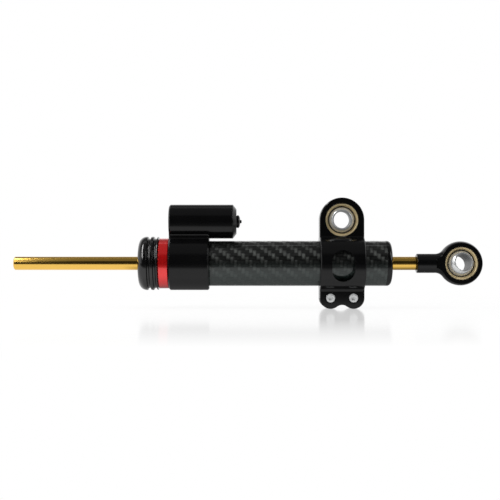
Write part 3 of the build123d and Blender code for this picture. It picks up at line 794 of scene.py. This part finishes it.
class DAMPER_OT_rod(bpy.types.Operator):
    """Polished gold rod with a broken edge, a centre mark at its free end, two grooves for the piston's
    circlips and a spigot that goes into the rod eye"""
    bl_idname = "damper.rod"
    bl_label = "Rod"

    def execute(self, context):
        low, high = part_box("rod")
        shank_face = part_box("rod_eye")[0].x
        clips_low, clips_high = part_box("piston_circlips")
        size = sizes()
        radius = (high.y - low.y) / 2
        root = radius - size.clip_depth
        chamfer = 0.6 * MM
        mark = 0.9 * MM
        mark_floor = 0.3 * MM
        spigot_break = 0.3 * MM
        outline = [
            (low.x + mark, mark_floor),
            (low.x, mark),
            (low.x, radius - chamfer),
            (low.x + chamfer, radius),
        ]
        for left in (clips_low.x, clips_high.x - size.clip_width):
            right = left + size.clip_width
            outline += [(left, radius), (left, root), (right, root), (right, radius)]
        outline += [(shank_face, radius), (shank_face, size.spigot), (high.x, size.spigot - spigot_break)]
        rod = turn("rod_polished", outline, middle_height("rod"), closed=False)
        bevel_edges(rod, width=0.1 * MM, angle=25, segments=2)
        smooth(rod, angle=30)
        finish_piece(rod, "rod", ["rod"], "gold_rod", rod_gold())
        return {"FINISHED"}


class DAMPER_OT_tube(bpy.types.Operator):
    """Carbon tube with its ends trimmed, in a twill weave under lacquer"""
    bl_idname = "damper.tube"
    bl_label = "Carbon tube"

    def execute(self, context):
        low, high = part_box("carbon_tube")
        outer = (high.y - low.y) / 2
        inner = outer - sizes().tube_wall
        outline = [(low.x, inner), (low.x, outer), (high.x, outer), (high.x, inner)]
        tube = turn("tube_woven", outline, AXIS_HEIGHT)
        bevel_edges(tube, sizes().tube_edge, segments=2)
        smooth(tube, angle=35)
        finish_piece(tube, "cylinder", ["carbon_tube"], "carbon", woven_carbon())
        return {"FINISHED"}


# Bearings, alike in the clamp and in the rod eye

class DAMPER_OT_bearings(bpy.types.Operator):
    """Spherical bearings: a polished ball with a flat face round its bore, in a gold race with a black
    lining, whose dark also paints the shade in the gap round the ball
    """
    bl_idname = "damper.bearings"
    bl_label = "Spherical bearings"

    def execute(self, context):
        gold = race_gold()
        lining_and_gap_shade = soft_rubber("race_lining_and_gap_shade")
        chrome = bright_steel("ball_chrome", (0.18, 0.28), shine=0.7)
        # The bore's steel is duller, and painted darker for the shade inside the bore
        bore_steel_and_shade = bright_steel("ball_bore", (0.42, 0.60), shine=0.62, grain=0.004 * MM, lightness=0.42)
        for place in ("clamp", "eye"):
            self.race(place + "_race", gold, lining_and_gap_shade)
            self.ball(place + "_ball", chrome, bore_steel_and_shade)
        return {"FINISHED"}

    def race(self, node, gold, lining_and_gap_shade):
        """Race with rounded rims. Its seat for the ball and a ring on each side of it are a black lining,
        whose dark also paints the shade in the gap round the ball.
        """
        low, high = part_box(node)
        outer = (high.x - low.x) / 2
        half = (high.y - low.y) / 2
        ball_share = 0.8
        ball = outer * ball_share
        lip = ball - 0.15 * MM
        mouth = ball + 1.0 * MM
        seat = ball + 0.05 * MM
        rim = (outer - mouth) / 2
        lip_station = math.sqrt(seat**2 - lip**2)
        liner_share = 0.3
        liner_station = lip_station + liner_share * (half - rim - lip_station)
        liner_radius = lip + liner_share * (mouth - lip)
        inside = list(reversed(ball_outline(seat, lip_station, steps=12)))
        outline = [(liner_station, liner_radius)] + inside + [(-liner_station, liner_radius)]
        outline += arc(rim - half, mouth + rim, rim, 270, 90, steps=10)
        outline += arc(half - rim, mouth + rim, rim, 90, -90, steps=10)
        race = turn(node + "_turned", outline, 0)
        bevel_edges(race, width=0.06 * MM, angle=24, segments=2)
        # The lining's faces take the black, which also paints the shade in the gap round the ball
        paint_inside(race, liner_radius)
        stand_about_y(race, (low + high) / 2)
        smooth(race, angle=26)
        finish_piece(race, node, [node], "gold_race", gold, lining_and_gap_shade)

    def ball(self, node, chrome, bore_steel_and_shade):
        """Ball with a flat land and a broken edge round its bore, which is a duller steel, painted darker as
        shade inside the bore.
        """
        radius = 8.0 * MM
        bore = 5.0 * MM
        edge = 0.35 * MM
        land = 0.45 * MM
        half = math.sqrt(radius**2 - (bore + edge + land) ** 2)
        outline = ball_outline(radius, half, steps=32)
        outline += [(half, bore + edge), (half - edge, bore), (edge - half, bore), (-half, bore + edge)]
        ball = turn(node + "_turned", outline, 0)
        bevel_edges(ball, width=0.08 * MM, angle=28, segments=2)
        # The bore's faces take that steel: a duller finish with painted shade
        paint_inside(ball, bore + edge)
        self.lean(ball, node)
        smooth(ball, angle=26)
        finish_piece(ball, node, [node], "ball_steel", chrome, bore_steel_and_shade)

    def lean(self, ball, node):
        """Sets a ball in its race, leaning as its bolt bore does in the frame."""
        low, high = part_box(node)
        direction = Vector((0, 1, 0))
        for mount in frame["record"]["mounts"]:
            if node == "eye_ball" and mount["name"] == "fork_bolt_bore":
                direction = Vector(mount["axis"])
        ball.rotation_mode = "QUATERNION"
        ball.rotation_quaternion = direction.to_track_quat("X", "Z")
        ball.location = (low + high) / 2
        fix_in_place(ball)


# Screws

class DAMPER_OT_clamp_screws(bpy.types.Operator):
    """Two cap screws with hexagon sockets and rounded heads, in the clamp's ears"""
    bl_idname = "damper.clamp_screws"
    bl_label = "Clamp screws"

    def execute(self, context):
        low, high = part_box("clamp_screws")
        head_radius = (high.z - low.z) / 2
        steel = bright_steel("screw_steel", (0.30, 0.46), shine=0.45)
        for side, station in (("left", low.x + head_radius), ("right", high.x - head_radius)):
            screw = self.model(side, low.y, high.y, head_radius)
            stand_about_y(screw, (station, 0, (low.z + high.z) / 2))
            smooth(screw, angle=32)
            finish_piece(screw, "clamp", ["clamp_screws"], "screw_steel", steel)
        return {"FINISHED"}

    def model(self, side, near, far, head_radius):
        """One screw along X, its head's face at near and its tip at far. Rings stand for its thread."""
        size = sizes()
        shank = size.screw_shank / 2
        head_floor = near + size.screw_head
        # Depth behind the head's face, and share of its radius there
        head_round = ((0.0, 0.86), (0.12 * MM, 0.965), (0.4 * MM, 1.0))
        thread_length = 3 * MM
        thread_depth = 0.16 * MM
        tip = 0.4 * MM
        tip_break = 0.1 * MM
        root = shank - thread_depth
        outline = [(near + depth, head_radius * share) for depth, share in head_round]
        outline += [(head_floor, head_radius), (head_floor, shank), (far - thread_length, shank)]
        threads = 5
        pitch = (thread_length - tip) / threads
        for thread in range(threads):
            start = far - thread_length + thread * pitch
            outline += [(start + pitch / 2, root), (start + pitch, shank)]
        outline += [(far, root - tip_break)]
        screw = turn(f"clamp_screw_{side}", outline, 0, closed=False, facets=64)
        socket_depth = 1.1 * MM
        start_clean()
        bpy.ops.mesh.primitive_cylinder_add(
            vertices=6, radius=size.screw_socket / math.sqrt(3), depth=2 * socket_depth,
            location=(near, 0, 0), rotation=(0, math.pi / 2, 0),
        )
        cut_with(screw, bpy.context.object)
        bevel_edges(screw, width=0.07 * MM, angle=42, segments=2)
        return screw


class DAMPER_OT_filler_screw(bpy.types.Operator):
    """Domed filler screw with its tip, on the reservoir's plug"""
    bl_idname = "damper.filler_screw"
    bl_label = "Filler screw"

    def execute(self, context):
        low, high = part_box("filler_screw")
        radius = (high.y - low.y) / 2
        seal = 0.5 * MM
        side_height = 0.35 * MM
        thread = 2.0 * MM
        thread_end = 0.8 * thread
        thread_break = 0.3 * MM
        tip = 0.9 * MM
        tip_foot = 1.25 * tip
        tip_end = 0.7 * tip
        tip_break = 0.15 * MM
        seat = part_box("reservoir_plug")[1].x + seal
        rim = seat + side_height
        top = high.x - tip
        outline = [(low.x, thread_end), (low.x + thread_break, thread), (seat, thread), (seat, radius)]
        steps = 8
        for step in range(steps + 1):
            angle = step / steps * math.pi / 2
            drop = (radius - tip_foot) * (1 - math.cos(angle))
            outline.append((rim + (top - rim) * math.sin(angle), radius - drop))
        outline += [(high.x - tip_break, tip), (high.x, tip_end)]
        screw = turn("filler_screw_domed", outline, middle_height("filler_screw"), closed=False, facets=96)
        bevel_edges(screw, width=0.05 * MM, angle=40, segments=2)
        smooth(screw, angle=35)
        black = black_anodise("filler_black")
        finish_piece(screw, "cylinder", ["filler_screw"], "black_anodised", black)
        return {"FINISHED"}


# Spring

class DAMPER_OT_compensator_spring(bpy.types.Operator):
    """Coil spring inside the reservoir, which in the damper shortens as the floating piston presses on it;
    here it is one coil of fixed length
    """
    bl_idname = "damper.compensator_spring"
    bl_label = "Compensator spring"

    def execute(self, context):
        low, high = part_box("compensator_spring")
        turns = sizes().spring_turns
        wire = sizes().spring_wire / 2
        wire_sides = 12
        steps_a_turn = 36
        length = high.x - low.x
        start_clean()
        bpy.ops.mesh.primitive_circle_add(
            vertices=wire_sides, radius=wire, location=(low.x + wire, 0, (high.y - low.y) / 2 - wire),
            rotation=(math.pi / 2, 0, 0), fill_type="NOTHING",
        )
        spring = bpy.context.object
        spring.name = "compensator_spring_coil"
        fix_in_place(spring)
        coil = spring.modifiers.new("Coil", "SCREW")
        coil.axis = "X"
        coil.screw_offset = (length - 2 * wire) / turns
        coil.iterations = turns
        coil.steps = steps_a_turn
        coil.render_steps = steps_a_turn
        bpy.ops.object.modifier_apply(modifier=coil.name)
        close_mesh(spring, cap=True)
        spring.location = (0, 0, middle_height("compensator_spring"))
        fix_in_place(spring)
        smooth(spring, angle=40)
        steel = bright_steel("coil_steel", (0.18, 0.3))
        finish_piece(spring, "cylinder", ["compensator_spring"], "spring_steel", steel)
        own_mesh(spring)
        return {"FINISHED"}


# Finishes of the pieces that stay as machined

class DAMPER_OT_finishes(bpy.types.Operator):
    """Finishes of the frame's own pieces, seen and inside"""
    bl_idname = "damper.finishes"
    bl_label = "Machined finishes"

    def execute(self, context):
        metal = colours()
        by_slot = {
            "black_anodised": black_anodise("milled_black", lathe=False, edge=0.14 * MM),
            "red_anodised": red_anodise(),
            "gold_rod": rod_gold(),
            "carbon": woven_carbon(),
            "gold_race": race_gold(),
            "ball_steel": bright_steel("ball_steel", (0.05, 0.14)),
            "screw_steel": bright_steel("small_screw_steel", (0.2, 0.34)),
            "seal_rubber": soft_rubber(),
            "slide_ring": filled_plastic(),
            "bush_bronze": inner_metal("bush_bronze", metal.bronze, (0.22, 0.36)),
            "spring_steel": bright_steel("spring_steel", (0.18, 0.3)),
            "bare_aluminium": inner_metal("bare_aluminium", metal.aluminium, (0.2, 0.34)),
        }
        for slot, material in by_slot.items():
            for node in slot_nodes(slot):
                paint(frame["nodes"][node], material)
        turned_black = black_anodise("turned_black")
        for node in ("end_cap", "reservoir_plug"):
            paint(frame["nodes"][node], turned_black)
        return {"FINISHED"}


# Studio

class DAMPER_OT_studio(bpy.types.Operator):
    """White studio: floor, backdrop light, softboxes and the camera"""
    bl_idname = "damper.studio"
    bl_label = "Studio"

    def execute(self, context):
        scene = bpy.context.scene
        scene.view_settings.view_transform = "Standard"
        self.camera(scene)
        self.floor()
        self.world(scene)
        self.lights(scene)
        return {"FINISHED"}

    def camera(self, scene):
        """Level camera, square on to the damper."""
        setting = studio()
        lens = bpy.data.cameras.new("camera")
        lens.lens = setting.lens
        lens.sensor_width = 36
        lens.clip_start = 0.01
        camera = bpy.data.objects.new("camera", lens)
        camera.location = (setting.camera_station, -setting.camera_distance, setting.camera_height)
        camera.rotation_euler = (math.pi / 2, 0, 0)
        scene.collection.objects.link(camera)
        scene.camera = camera

    def floor(self):
        """White sheet. To the camera it is plain white, with a faint shadow and a mirror image that both
        fade away from the damper."""
        start_clean()
        bpy.ops.mesh.primitive_plane_add(size=6, location=(0, 0, CAD_BOX[0][2]))
        floor = bpy.context.object
        floor.name = "floor"
        finish = Finish("floor_sheet")
        place = finish.place()
        across, depth, _ = finish.split(place)
        seen = finish.node("ShaderNodeLightPath").outputs["Is Camera Ray"]
        glow = finish.greatest(seen, self.mirrored_glow(finish, across, depth))
        white = finish.node("ShaderNodeEmission", inputs={"Strength": glow}).outputs[0]
        matte = finish.node("ShaderNodeBsdfDiffuse", inputs={"Color": (0.9, 0.9, 0.9, 1)}).outputs[0]
        shadow = finish.ramp(finish.length(place), 0.1, 0.3, 0.12, 0.0)
        shaded = finish.node("ShaderNodeMixShader", inputs={0: shadow, 1: white, 2: matte}).outputs[0]
        mirror = finish.node("ShaderNodeBsdfGlossy", inputs={"Color": (1, 1, 1, 1), "Roughness": 0.11})
        share = finish.product(seen, self.gloss(finish, across, depth))
        surface = finish.node("ShaderNodeMixShader", inputs={0: share, 1: shaded, 2: mirror.outputs[0]})
        finish.tree.nodes.remove(finish.shader)
        finish.tree.links.new(surface.outputs[0], finish.tree.nodes["Material Output"].inputs["Surface"])
        paint(floor, finish.material)

    def mirrored_glow(self, finish, across, depth):
        """Brightness of the sheet as the damper mirrors it: dim in the damper's own shadow, from the
        knob's end to the right, and dark past the sheet's front edge, which runs a little askew."""
        askew = -0.135
        room = 0.03
        in_shadow = 0.2
        past_edge = finish.math("MULTIPLY_ADD", across, askew, depth)
        sheet = finish.ramp(past_edge, -0.090, -0.052, room, 1.0)
        before = finish.ramp(depth, 0.008, -0.024, in_shadow, 1.0)
        behind = finish.ramp(depth, 0.05, 0.12, in_shadow, 1.0)
        beside = finish.ramp(across, -0.112, -0.132, in_shadow, 1.0)
        return finish.product(finish.greatest(before, behind, beside), sheet)

    def gloss(self, finish, across, depth):
        """Share of the sheet that mirrors: more at grazing angles, and only near the damper."""
        grazing = finish.node("ShaderNodeFresnel", inputs={"IOR": 1.45}).outputs[0]
        stretch = 0.5
        beside = finish.math("MULTIPLY", finish.math("SUBTRACT", across, MIDDLE_STATION), stretch)
        near_damper = finish.ramp(finish.length(finish.join(beside, depth)), 0.10, 0.24, 1.0, 0.0)
        return finish.product(grazing, near_damper, studio().floor_gloss)

    def world(self, scene):
        """White backdrop to the camera. The damper mirrors white behind it and on its left, a grey wall
        on its right, a dim ceiling and otherwise the dark room. Matte surfaces get an even fill."""
        world = bpy.data.worlds.new("studio")
        world.use_nodes = True
        scene.world = world
        sky = Nodes(world.node_tree)
        setting = studio()
        ray = sky.node("ShaderNodeLightPath").outputs
        x, y, z = sky.split(sky.node("ShaderNodeTexCoord").outputs["Generated"])
        behind = sky.ramp(y, 0.0, 0.3, 0.0, 1.0)
        left = sky.ramp(x, -0.70, -0.88, 0.0, setting.left_wall)
        right = sky.ramp(x, 0.75, 0.95, 0.0, setting.right_wall)
        wall_top = sky.ramp(z, 0.42, 0.72, 1.0, 0.0)
        walls = sky.product(sky.greatest(behind, left, right), wall_top)
        above = sky.ramp(z, 0.60, 0.72, setting.room, setting.ceiling)
        fill = sky.spread(ray["Is Diffuse Ray"], 0.0, setting.fill)
        strength = sky.greatest(ray["Is Camera Ray"], fill, walls, above)
        background = sky.tree.nodes["Background"]
        sky.tree.links.new(strength, background.inputs["Strength"])
        background.inputs["Color"].default_value = (1, 1, 1, 1)

    def lights(self, scene):
        """A tall softbox on the left, leaning over, a softbox on the right and a strip overhead."""
        setting = studio()
        key = self.lamp("key", setting.key_power, width=0.13, height=0.95)
        side = self.lamp("side", setting.side_power, width=0.25, height=0.4)
        strip = self.lamp("strip", setting.strip_power, width=0.9, height=0.07)
        self.aim(scene, key, right=-62, up=43, away=0.90, lean=42)
        self.aim(scene, side, right=75, up=25, away=0.80)
        self.aim(scene, strip, right=0, up=106, away=0.75)

    def lamp(self, name, power, width, height):
        """Rectangular lamp."""
        lamp = bpy.data.lights.new(name, "AREA")
        lamp.shape = "RECTANGLE"
        lamp.size = width
        lamp.size_y = height
        lamp.energy = power
        return lamp

    def aim(self, scene, lamp, right, up, away, lean=0):
        """Hangs a lamp that faces the damper's middle: degrees to the right of the front, degrees up,
        distance, and degrees that it leans over to the left."""
        target = Vector((MIDDLE_STATION, 0, AXIS_HEIGHT))
        turned = math.radians(right)
        rise = math.radians(up)
        level = away * math.cos(rise)
        offset = Vector((level * math.sin(turned), -level * math.cos(turned), away * math.sin(rise)))
        box = bpy.data.objects.new(lamp.name, lamp)
        box.location = target + offset
        facing = (-offset).to_track_quat("-Z", "Y")
        box.rotation_euler = (facing @ Quaternion((0, 0, 1), math.radians(lean))).to_euler()
        scene.collection.objects.link(box)


class DAMPER_PT_panel(bpy.types.Panel):
    """Lists the steps and their settings"""
    bl_idname = "DAMPER_PT_panel"
    bl_label = "Steering damper"
    bl_space_type = "VIEW_3D"
    bl_region_type = "UI"
    bl_category = "Damper"

    def draw(self, context):
        for group in (colours(), sizes(), studio()):
            for name in group.__annotations__:
                self.layout.prop(group, name)
        for step in STEPS:
            self.layout.operator(step.bl_idname)


STEPS = (
    DAMPER_OT_studio,
    DAMPER_OT_finishes,
    DAMPER_OT_tube,
    DAMPER_OT_rod,
    DAMPER_OT_knob,
    DAMPER_OT_bearings,
    DAMPER_OT_clamp_screws,
    DAMPER_OT_filler_screw,
    DAMPER_OT_compensator_spring,
)
GROUPS = (DAMPER_Colours, DAMPER_Sizes, DAMPER_Studio)


def register():
    for item in GROUPS + STEPS + (DAMPER_PT_panel,):
        bpy.utils.register_class(item)
    bpy.types.Scene.damper_colours = PointerProperty(type=DAMPER_Colours)
    bpy.types.Scene.damper_sizes = PointerProperty(type=DAMPER_Sizes)
    bpy.types.Scene.damper_studio = PointerProperty(type=DAMPER_Studio)


def unregister():
    del bpy.types.Scene.damper_studio
    del bpy.types.Scene.damper_sizes
    del bpy.types.Scene.damper_colours
    for item in reversed(GROUPS + STEPS + (DAMPER_PT_panel,)):
        bpy.utils.unregister_class(item)


def main():
    register()
    for step in STEPS:
        family, action = step.bl_idname.split(".")
        getattr(getattr(bpy.ops, family), action)()


if __name__ == "__main__":
    main()
